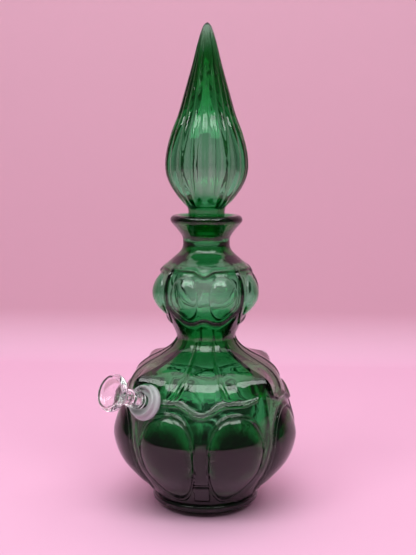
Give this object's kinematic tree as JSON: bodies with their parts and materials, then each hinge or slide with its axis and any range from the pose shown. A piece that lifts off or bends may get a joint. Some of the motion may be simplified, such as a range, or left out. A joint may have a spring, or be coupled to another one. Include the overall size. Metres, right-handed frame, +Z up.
{
  "type": "glass bottle water pipe",
  "caption": "Green moulded glass decanter with a waisted neck and a fluted flame stopper, drilled at the shoulder for a rubber grommet, a downstem and a small clear glass bowl.",
  "frame": {"origin": "middle of the foot, in the plane of the table the bottle stands on", "axes": "+Z up along the bottle's axis; -Y is the middle of the moulded section that faces the viewer, and the bowl stands out to the left of it (-X)"},
  "size_m": [0.1377, 0.1515, 0.356],
  "materials": {
    "green_glass": "gloss",
    "clear_glass": "gloss",
    "silicone": "satin"
  },
  "bodies": {
    "bottle_body": {"bottle": "green_glass", "grommet": "silicone"},
    "stopper_body": {"stopper": "green_glass"},
    "downstem_body": {"downstem": "clear_glass"},
    "bowl_body": {"bowl": "clear_glass"}
  },
  "joints": [
    {"name": "stopper_lift", "type": "slide", "parent": "bottle_body", "child": "stopper_body", "axis": [0, 0, 1], "range_m": [0, 0.04]},
    {"name": "downstem_pull", "type": "slide", "parent": "bottle_body", "child": "downstem_body", "axis": [-0.5751, -0.723, 0.3827], "range_m": [0, 0.1]},
    {"name": "bowl_pull", "type": "slide", "parent": "downstem_body", "child": "bowl_body", "axis": [-0.5751, -0.723, 0.3827], "range_m": [0, 0.016]}
  ]
}
